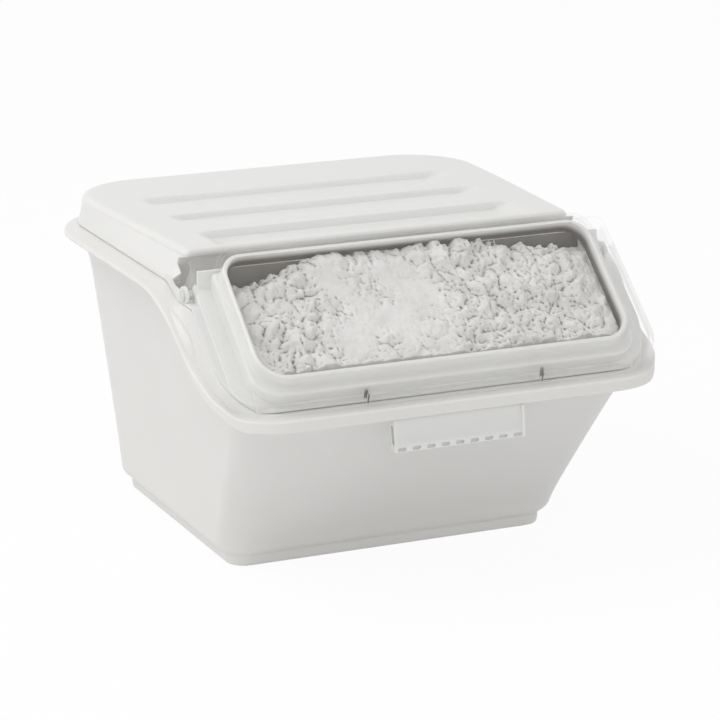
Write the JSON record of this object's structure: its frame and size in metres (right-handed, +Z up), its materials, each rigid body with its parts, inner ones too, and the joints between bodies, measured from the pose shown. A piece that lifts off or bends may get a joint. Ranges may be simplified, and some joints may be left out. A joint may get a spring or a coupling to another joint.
{
  "type": "ingredient bin with flip lid",
  "caption": "Tapered white counter-top ingredient bin with a lift-off top cover and a clear hinged flip door over its sloping front opening.",
  "frame": {"origin": "on the floor under the middle of the bounding box", "axes": "+Z up, front lip and opening towards -Y, width along X"},
  "size_m": [0.332, 0.354, 0.2238],
  "materials": {
    "bin_white": "satin",
    "cover_white": "satin",
    "door_clear": "clear, polished",
    "pin_white": "satin",
    "label_white": "satin"
  },
  "bodies": {
    "bin": {"tub": "bin_white", "label_holder": "label_white"},
    "cover": {"top_cover": "cover_white", "hinge_pin_left": "pin_white", "hinge_pin_right": "pin_white"},
    "door": {"flip_door": "door_clear"}
  },
  "joints": [
    {"name": "cover_lift", "type": "slide", "parent": "bin", "child": "cover", "axis": [0, 0, 1], "range_m": [0, 0.1]},
    {"name": "door_hinge", "type": "hinge", "parent": "cover", "child": "door", "pos_m": [0, -0.0805, 0.1935], "axis": [-1, 0, 0], "range_deg": [0, 115]}
  ]
}
